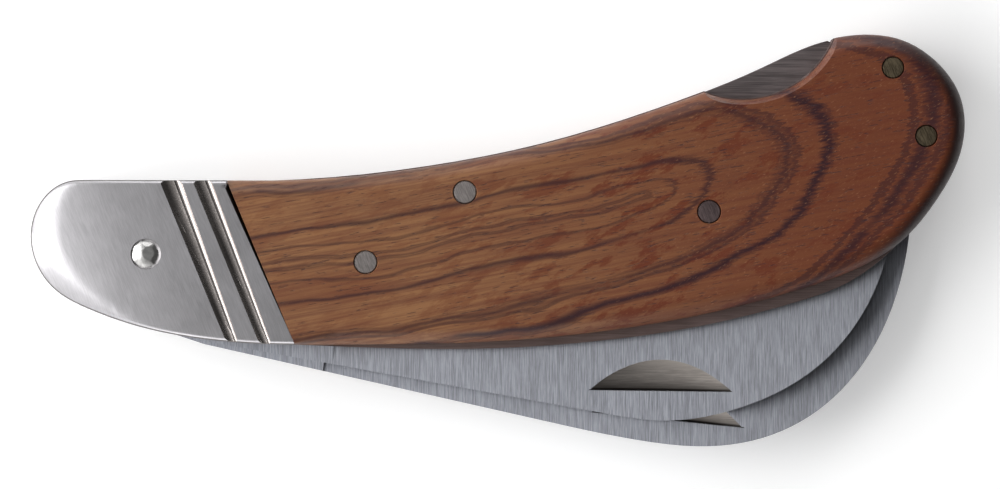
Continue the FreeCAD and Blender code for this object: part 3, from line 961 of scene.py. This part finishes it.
@dataclass
class WoodScale:
    """One of the two wooden scales, rounded along its outline and scooped for the thumb."""

    side: Side
    finish: Rosewood
    rim: float = 2.3 * MM
    rim_segments: int = 9
    seam_rim: float = 0.05 * MM
    scoop_radius: float = 12.45 * MM
    scoop_flare: float = 0.60 * MM
    scoop_flare_depth: float = 1.6 * MM
    scoop_wall: float = 0.1 * MM  # how far outside its radius an outline point may lie
    scoop_sides: int = 120
    corner: float = 60.0  # edges that turn by more degrees than this are broken
    cell: float = 2.5 * MM
    hole_gap: float = 0.06 * MM
    hole_flare: float = 0.08 * MM
    hole_flare_depth: float = 0.12 * MM

    def in_scoop(self, place: Vector) -> bool:
        """Whether a point lies on the wall of the thumb scoop."""
        return (place.xy - SCOOP).length < self.scoop_radius + self.scoop_wall

    def shape(self) -> Blank:
        """Builds the plate with its rounded rim, without its scoop.

        Returns:
            The front plate.
        """
        low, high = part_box("front_scale")
        blank = Blank.outlined("front_scale", low.z + SLICE_AT)
        scooped = [v for v in blank.bm.verts if self.in_scoop(v.co)]
        inner = [v for v in scooped if all(e.other_vert(v) in scooped for e in v.link_edges)]
        bmesh.ops.dissolve_verts(blank.bm, verts=inner)
        blank.thicken(low.z, high.z)
        top = rim_edges(blank, high.z)
        seam = longest(e for e in top if not all(self.in_scoop(v.co) for v in e.verts))
        plain = along(top, seam)
        blank.bevel([e for e in top if e not in plain], self.rim, self.rim_segments, clamp=False)
        blank.bevel(blank.sharp(self.corner), self.seam_rim)
        blank.grid(self.cell)
        return blank

    def scoop(self) -> Blank:
        """Turns the cutter that scoops the scale for the thumb.

        Returns:
            The cutter, flared at its mouth.
        """
        profile = [
            (self.scoop_radius, MID_Z),
            (self.scoop_radius, face_height() - self.scoop_flare_depth),
            (self.scoop_radius + self.scoop_flare, face_height()),
            (self.scoop_radius + self.scoop_flare, face_height() + TOOL_RISE),
        ]
        cutter = Blank(turned(profile, SCOOP.to_3d(), self.scoop_sides))
        cutter.turn_to(self.side)
        return cutter

    def drill(self, pin: str) -> Blank:
        """Turns the drill for a pin's hole.

        Args:
            pin: the pin's CAD node.

        Returns:
            The drill, a little wider at its mouth.
        """
        low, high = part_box(pin)
        radius = (high.x - low.x) / 2 + self.hole_gap
        mouth = face_height() - self.hole_flare_depth
        profile = [
            (radius, MID_Z),
            (radius, mouth),
            (radius + self.hole_flare, face_height()),
            (radius + self.hole_flare, face_height() + TOOL_RISE),
        ]
        drill = Blank(turned(profile, middle_of(pin)))
        drill.turn_to(self.side)
        return drill

    def build(self) -> None:
        """Builds the scale and drills it for the pins."""
        node = f"{self.side.value}_scale"
        blank = self.shape()
        blank.turn_to(self.side)
        tools = [Tool(self.scoop()), *(Tool(self.drill(p)) for p in PINS)]
        blank.finish(Making(f"wood_{node}", self.finish, "wood", node), tools)


@dataclass
class Flute:
    """A round groove across a bolster that grows shallower from the handle's back to its sole.

    At each end it has a middle and a half width along X, and a depth.
    """

    back: float
    back_half: float
    back_depth: float
    sole: float
    sole_half: float
    sole_depth: float
    over: float = 0.15  # how far the tool runs past each end, as a share of the groove
    sides: int = 96

    def tool(self, back_y: float, sole_y: float) -> Blank:
        """The long cone that cuts the groove.

        Args:
            back_y: where the bolster's back is.
            sole_y: where its sole is.

        Returns:
            The tool.
        """
        start = Vector((self.back, back_y, face_height()))
        end = Vector((self.sole, sole_y, face_height()))
        slant = (back_y - sole_y) / (end - start).length
        first = self.radius(self.back_half * slant, self.back_depth)
        last = self.radius(self.sole_half * slant, self.sole_depth)
        start.z += first - self.back_depth
        end.z += last - self.sole_depth
        reach = end - start
        bm = bmesh.new()
        bmesh.ops.create_cone(
            bm,
            cap_ends=True,
            segments=self.sides,
            radius1=first - (last - first) * self.over,
            radius2=last + (last - first) * self.over,
            depth=reach.length * (1 + 2 * self.over),
        )
        turn = reach.to_track_quat("Z", "Y").to_matrix().to_4x4()
        bmesh.ops.transform(bm, matrix=Matrix.Translation((start + end) / 2) @ turn, verts=bm.verts[:])
        return Blank(bm)

    def radius(self, half: float, depth: float) -> float:
        """Radius of the round that is that wide and that deep."""
        return (half * half + depth * depth) / (2 * depth)


@dataclass
class Bolster:
    """One of the two steel bolsters: a rounded nose, two slanted flutes and a seat for the rivet."""

    side: Side
    rim: float = 0.55 * MM
    rim_segments: int = 6
    cell: float = 0.8 * MM
    reach: float = 24.6 * MM  # from the seam to the tip of the nose
    fall: float = 1.60 * MM  # of the face at the tip
    fall_power: float = 3.2
    nose_width: float = 7.5 * MM  # of the rounding along the nose's edge
    nose_fall: float = 1.25 * MM
    nose_from: float = 10.0 * MM  # distance from the seam where the rounding starts
    seam_rim: float = 0.04 * MM
    corner: float = 40.0  # edges that turn by more degrees than this are broken
    edge_shade_band: float = 0.13 * MM  # how far in from the outline the steel is painted darker, as painted shade along the outline
    seat_gap: float = 0.03 * MM
    seat_depth: float = 0.7 * MM
    flutes: tuple[Flute, ...] = (
        Flute(-40.25 * MM, 1.40 * MM, 0.36 * MM, -32.48 * MM, 0.74 * MM, 0.27 * MM),
        Flute(-39.54 * MM, 0.62 * MM, 0.36 * MM, -32.06 * MM, 0.34 * MM, 0.22 * MM),
        Flute(-36.35 * MM, 1.16 * MM, 0.33 * MM, -28.46 * MM, 0.74 * MM, 0.27 * MM),
        Flute(-35.76 * MM, 0.56 * MM, 0.35 * MM, -28.06 * MM, 0.34 * MM, 0.22 * MM),
    )

    def drop(self, far: float, edge: float) -> float:
        """How far the face has fallen at a place.

        Args:
            far: distance from the seam.
            edge: distance from the outline.

        Returns:
            The fall.
        """
        share = min(max((far - self.nose_from) / (self.reach - self.nose_from), 0.0), 1.0) ** 3
        near = max(0.0, 1 - edge / (self.nose_width * share + WELD))
        return self.fall * (max(far, 0.0) / self.reach) ** self.fall_power + self.nose_fall * share * near**3

    def shape(self) -> Blank:
        """Builds the bolster with its rounded nose.

        Returns:
            The front bolster, without its flutes and its seat.
        """
        low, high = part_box("front_bolster")
        blank = Blank.outlined("front_bolster", low.z + SLICE_AT)
        blank.thicken(low.z, high.z)
        top = rim_edges(blank, high.z)
        seam = longest(top)
        walls = [(e.verts[0].co.xy, e.verts[1].co.xy) for e in top if e is not seam]
        foot = seam.verts[0].co.xy
        way = (seam.verts[1].co.xy - foot).normalized()
        blank.bevel([e for e in top if e is not seam], self.rim, self.rim_segments, clamp=False)
        blank.bevel(blank.sharp(self.corner), self.seam_rim)
        blank.grid(self.cell)
        thick = high.z - low.z
        for vert in blank.bm.verts:
            place = vert.co.xy
            far = abs((place - foot).cross(way))
            drop = self.drop(far, min(off_line(place, a, b) for a, b in walls))
            vert.co.z = low.z + (vert.co.z - low.z) * (1 - drop / thick)
        # painted shade: faces in a thin band along the outline take the dark edge-shade finish
        for face in blank.bm.faces:
            middle = face.calc_center_median().xy
            face.material_index = int(min(off_line(middle, a, b) for a, b in walls) < self.edge_shade_band)
        return blank

    def seat(self) -> Blank:
        """Turns the cutter of the round seat that the rivet's head fills.

        Returns:
            The cutter.
        """
        low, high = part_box("pivot_rivet")
        radius = (high.x - low.x) / 2 + self.seat_gap
        base = face_height() - self.seat_depth
        return Blank(turned([(radius, base), (radius, face_height() + TOOL_RISE)], middle_of("pivot_rivet")))

    def build(self) -> None:
        """Builds the bolster, then cuts its flutes and its seat."""
        node = f"{self.side.value}_bolster"
        low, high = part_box("front_bolster")
        blank = self.shape()
        blanks = [flute.tool(high.y, low.y) for flute in self.flutes]
        tools = [Tool(b, FLUTE) for b in blanks] + [Tool(self.seat())]
        for piece in (blank, *(t.blank for t in tools)):
            piece.turn_to(self.side)
        making = Making(f"fluted_{node}", BOLSTER, "bolster_steel", node, wall=EDGE_SHADE)
        blank.finish(making, tools)


@dataclass
class Facet:
    """A flat that a hammer left: where it faces, how far it leans and how wide it is, in degrees."""

    azimuth: float
    lean: float
    spread: float


@dataclass
class PivotRivet:
    """The rivet that both blades turn on, with a peened head on each side."""

    dome: float = 0.50 * MM
    head: float = 0.70 * MM
    shank: float = 1.6 * MM
    dome_steps: int = 8
    sides: int = 40
    facets: tuple[Facet, ...] = (
        Facet(20, 5, 11),
        Facet(172, 24, 12),
        Facet(232, 26, 10),
        Facet(285, 25, 9),
        Facet(335, 25, 10),
        Facet(28, 26, 9),
        Facet(85, 25, 10),
        Facet(128, 27, 8),
    )

    def head_blank(self, radius: float, top: float) -> Blank:
        """Builds the front head and hammers its facets.

        Args:
            radius: the head's radius.
            top: height of its crown.

        Returns:
            The head.
        """
        centre = middle_of("pivot_rivet")
        ball = (radius * radius + self.dome * self.dome) / (2 * self.dome)
        edge = math.asin(radius / ball)
        profile = [(radius, top - self.head)]
        for i in range(self.dome_steps):
            lean = edge * (1 - i / self.dome_steps)
            profile.append((ball * math.sin(lean), top - ball * (1 - math.cos(lean))))
        profile.append((0.0, top))
        blank = Blank(turned(profile, centre, self.sides))
        middle = Vector((centre.x, centre.y, top - ball))
        for facet in self.facets:
            lean, way = math.radians(facet.lean), math.radians(facet.azimuth)
            flat = Vector((math.sin(lean) * math.cos(way), math.sin(lean) * math.sin(way), math.cos(lean)))
            blank.cut(middle + flat * ball * math.cos(math.radians(facet.spread)), flat, clear=True)
        return blank

    def build(self) -> None:
        """Builds the shank and both heads as one piece."""
        low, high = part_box("pivot_rivet")
        base = high.z - self.head
        whole = turned([(self.shank, 2 * MID_Z - base), (self.shank, base)], middle_of("pivot_rivet"))
        part = bpy.data.meshes.new("rivet_part")
        for side in Side:
            head = self.head_blank((high.x - low.x) / 2, high.z)
            head.turn_to(side)
            head.bm.to_mesh(part)
            head.bm.free()
            whole.from_mesh(part)
        bpy.data.meshes.remove(part)
        Blank(whole).finish(Making("peened_pivot_rivet", RIVET, "rivet_steel", "pivot_rivet"))


@dataclass
class HandlePin:
    """A pin through the whole handle, filed flush with the wood and slightly crowned."""

    node: str
    finish: Steel
    rounding: float = 0.12 * MM
    crown: float = 0.04 * MM

    def build(self) -> None:
        """Builds the pin."""
        low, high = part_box(self.node)
        radius = (high.x - low.x) / 2
        ends = [
            (0.0, low.z),
            (radius - self.rounding, low.z + self.crown),
            (radius, low.z + self.crown + self.rounding),
            (radius, high.z - self.crown - self.rounding),
            (radius - self.rounding, high.z - self.crown),
            (0.0, high.z),
        ]
        blank = Blank(turned(ends, middle_of(self.node)))
        blank.finish(Making(f"{self.node}_filed", self.finish, "pin_steel", self.node))


@dataclass
class FlatPart:
    """A part stamped from strip, with its edges just broken."""

    making: Making
    rounding: float = 0.08 * MM
    corner: float = 50.0  # edges that turn by more degrees than this are broken
    cell: float = 3.0 * MM

    def build(self) -> None:
        """Builds the part from its CAD node."""
        blank = Blank.copied(self.making.node)
        blank.bevel(blank.sharp(self.corner), self.rounding)
        blank.grid(self.cell)
        blank.finish(self.making)


@dataclass
class Nick:
    """A nail nick: a crescent milled with a drum laid almost flat, deepest along its straight side."""

    x: float
    y: float
    slope: float
    half: float = 8.75 * MM
    height: float = 4.45 * MM
    depth: float = 0.85 * MM
    drum_length: float = 3.0  # in heights of the crescent
    drum_sides: int = 1600

    def tool(self, face: float) -> Blank:
        """The milling drum.

        Args:
            face: height of the blade's face.

        Returns:
            The tool.
        """
        radius = (self.half**2 + self.depth**2) / (2 * self.depth)
        lean = math.atan2(self.depth, self.height)
        length = self.drum_length * self.height
        bm = bmesh.new()
        bmesh.ops.create_cone(
            bm,
            cap_ends=True,
            segments=self.drum_sides,
            radius1=radius,
            radius2=radius,
            depth=length,
        )
        bmesh.ops.translate(bm, verts=bm.verts[:], vec=(0, radius, length / 2))
        turn = Matrix.Rotation(math.radians(self.slope), 4, "Z") @ Matrix.Rotation(lean, 4, "X")
        laid_down = Matrix(((1, 0, 0, 0), (0, 0, 1, 0), (0, 1, 0, 0), (0, 0, 0, 1)))
        place = Matrix.Translation((self.x, self.y, face - self.depth))
        bmesh.ops.transform(bm, matrix=place @ turn @ laid_down, verts=bm.verts[:])
        bmesh.ops.recalc_face_normals(bm, faces=bm.faces[:])
        return Blank(bm)


@dataclass
class Blade:
    """A ground blade with its tang, its bevelled edge and its nail nick."""

    making: Making
    nick: Nick
    nick_fall: float  # how far the ground face has fallen at the nick

    def build(self) -> None:
        """Builds the blade from its CAD node and mills its nick clean."""
        node, nick = self.making.node, self.nick
        tool = nick.tool(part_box(node)[1].z - self.nick_fall)
        slope = math.radians(nick.slope)
        milled = NickSteel(f"nick_of_{node}", x=nick.x / MM, y=nick.y / MM, slope=slope)
        Blank.copied(node, whole_faces=False).finish(self.making, [Tool(tool, milled)])


# ---------------------------------------------------------------- studio
@dataclass
class Softbox:
    """A square studio light: its place, its size and its power in watts."""

    name: str
    place: Vector
    size: float
    power: float

    def build(self) -> None:
        """Builds the light, turned to the knife."""
        lamp = bpy.data.lights.new(self.name, "AREA")
        lamp.shape = "SQUARE"
        lamp.size = self.size
        lamp.energy = self.power
        light = bpy.data.objects.new(self.name, lamp)
        bpy.context.scene.collection.objects.link(light)
        light.location = self.place
        light.rotation_euler = (-self.place).to_track_quat("-Z", "Y").to_euler()


@dataclass
class Studio:
    """A pale floor, soft lights and a camera straight above the knife."""

    floor_size: float = 6.0
    lens: float = 300.0
    sensor: float = 36.0
    view_width: float = 123 * MM
    view_middle: tuple[float, float, float] = (0.3 * MM, -0.43 * MM, 12.5 * MM)
    overhead: float = 0.34
    horizon: float = 1.0
    climb: tuple[float, float] = (0.2, 0.85)  # heights in the sky where it starts and stops dimming
    left: float = 1.70
    right: float = 0.12
    crossing: float = 0.35  # how far to each side it changes
    lights: tuple[Softbox, ...] = (
        Softbox("key_left", Vector((-0.48, 0.05, 0.34)), 0.55, 3.8),
        Softbox("fill_below", Vector((-0.15, -0.70, 0.36)), 0.45, 1.4),
        Softbox("fill_above", Vector((0.10, 0.70, 0.30)), 0.45, 2.0),
    )

    def build_floor(self) -> None:
        """Builds the floor under the knife."""
        bm = bmesh.new()
        bmesh.ops.create_grid(bm, x_segments=8, y_segments=8, size=self.floor_size / 2)
        mesh = bpy.data.meshes.new("floor")
        bm.to_mesh(mesh)
        bm.free()
        floor = bpy.data.objects.new("floor", mesh)
        mesh.materials.append(Paper().material())
        bpy.context.scene.collection.objects.link(floor)

    def build_world(self) -> None:
        """Builds a sky that is dimmer overhead, and dimmer still on the right."""
        world = bpy.data.worlds.new("studio")
        world.use_nodes = True
        bpy.context.scene.world = world
        nodes, links = world.node_tree.nodes, world.node_tree.links
        nodes.clear()
        place = nodes.new("ShaderNodeTexCoord")
        split = nodes.new("ShaderNodeSeparateXYZ")
        links.new(place.outputs["Generated"], split.inputs[0])
        ranges = (
            (split.outputs[2], *self.climb, self.horizon, self.overhead),
            (split.outputs[0], -self.crossing, self.crossing, self.left, self.right),
        )
        product = nodes.new("ShaderNodeMath")
        product.operation = "MULTIPLY"
        for i, (source, start, end, low, high) in enumerate(ranges):
            fall = nodes.new("ShaderNodeMapRange")
            links.new(source, fall.inputs["Value"])
            for key, value in zip(("From Min", "From Max", "To Min", "To Max"), (start, end, low, high)):
                fall.inputs[key].default_value = value
            links.new(fall.outputs[0], product.inputs[i])
        sky = nodes.new("ShaderNodeBackground")
        out = nodes.new("ShaderNodeOutputWorld")
        links.new(product.outputs[0], sky.inputs["Strength"])
        links.new(sky.outputs[0], out.inputs[0])

    def build_camera(self) -> None:
        """Builds the camera above the knife, with +Y at the top of the view."""
        data = bpy.data.cameras.new("camera")
        data.lens = self.lens
        data.sensor_width = self.sensor
        data.clip_start = 0.1
        data.clip_end = 10.0
        camera = bpy.data.objects.new("camera", data)
        bpy.context.scene.collection.objects.link(camera)
        away = self.view_width * self.lens / self.sensor
        camera.location = Vector(self.view_middle) + Vector((0, 0, away))
        bpy.context.scene.camera = camera

    def build(self) -> None:
        """Builds the whole studio."""
        self.build_floor()
        self.build_world()
        self.build_camera()
        for light in self.lights:
            light.build()
        bpy.context.scene.view_settings.view_transform = "Standard"


def flat_parts() -> list[Making]:
    """Lists the parts that are stamped from strip.

    Returns:
        What each one is called, finished with and stands for.
    """
    parts = [Making("divider_plate", LINER, "liner_steel", "divider_liner")]
    for side in Side:
        name = side.value
        parts += [
            Making(f"{name}_liner_plate", LINER, "liner_steel", f"{name}_liner"),
            Making(f"{name}_lock_bar_ground", LOCK, "lock_steel", f"{name}_lock_bar", f"{name}_lock"),
            Making(f"{name}_leaf_spring", SPRING, "spring_steel", f"{name}_lock_spring"),
            Making(f"{name}_butt_spacer", LOCK, "lock_steel", f"{name}_butt_block"),
        ]
    return parts


def blades() -> list[Blade]:
    """Lists the two blades.

    Returns:
        The grafting blade and the pruning blade.
    """
    graft = Making("grafting_blade_ground", BLADE, "blade_steel", "grafting_blade", "grafting_blade_body")
    prune = Making("pruning_blade_ground", BLADE, "blade_steel", "pruning_blade", "pruning_blade_body")
    return [
        Blade(graft, Nick(20.3 * MM, -18.35 * MM, -0.8), 0.14 * MM),
        Blade(prune, Nick(20.7 * MM, -21.95 * MM, -5.8, 9.45 * MM, 4.35 * MM), 0.07 * MM),
    ]


def main() -> None:
    """Builds the knife, part by part, and the studio round it."""
    logging.basicConfig(level=logging.INFO, format="%(name)s: %(message)s", stream=sys.stdout)
    Studio().build()
    front_wood = Rosewood("rosewood_front")
    rear_wood = Rosewood("rosewood_rear", heart=(-2.0, 0.18, 0.0022), arch_x=8.0, shift=(13.0, 5.0, 3.0))
    WoodScale(Side.FRONT, front_wood).build()
    WoodScale(Side.REAR, rear_wood).build()
    for side in Side:
        Bolster(side).build()
    PivotRivet().build()
    for pin in PINS:
        HandlePin(pin, PIN_FINISHES.get(pin, PIN)).build()
    for making in flat_parts():
        FlatPart(making).build()
    for blade in blades():
        blade.build()


if __name__ == "__main__":
    main()
